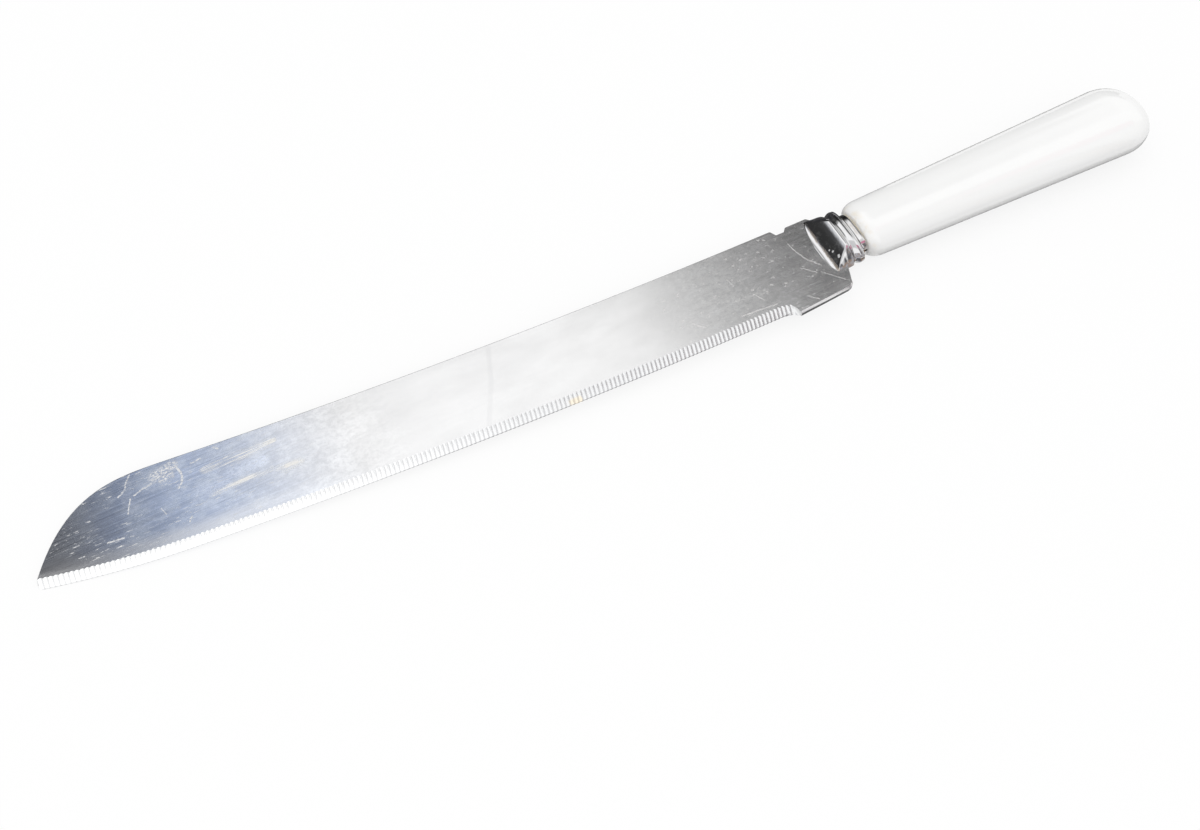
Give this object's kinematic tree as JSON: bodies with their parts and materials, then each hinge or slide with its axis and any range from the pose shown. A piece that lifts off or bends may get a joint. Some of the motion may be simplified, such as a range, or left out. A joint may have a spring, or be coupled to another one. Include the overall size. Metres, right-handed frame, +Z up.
{
  "type": "cake knife",
  "caption": "Long swept cake knife with a fluted cutting edge on one face, a stepped chrome bolster and a white oval handle that widens to a domed butt.",
  "frame": {"origin": "centre of the bounding box's base: the knife lies on a table, touching it with its tip and the underside of its handle", "axes": "+X from tip to butt, +Y from cutting edge to spine, +Z up with the fluted face up; the blade's flats lean 1.24 degrees because the thicker handle holds their end up"},
  "size_m": [0.3272, 0.0358, 0.0141],
  "materials": {
    "blade_steel": "stainless sheet, brushed along its length, scratched with use",
    "bolster_chrome": "polished plating on a casting",
    "collar_chrome": "polished plating on a turned ferrule",
    "handle_white": "glossy white moulding",
    "tang_bedding": "dull resin bedding"
  },
  "bodies": {
    "root": {"blade": "blade_steel", "bolster": "bolster_chrome", "collar": "collar_chrome", "handle": "handle_white", "cement": "tang_bedding"}
  },
  "joints": []
}
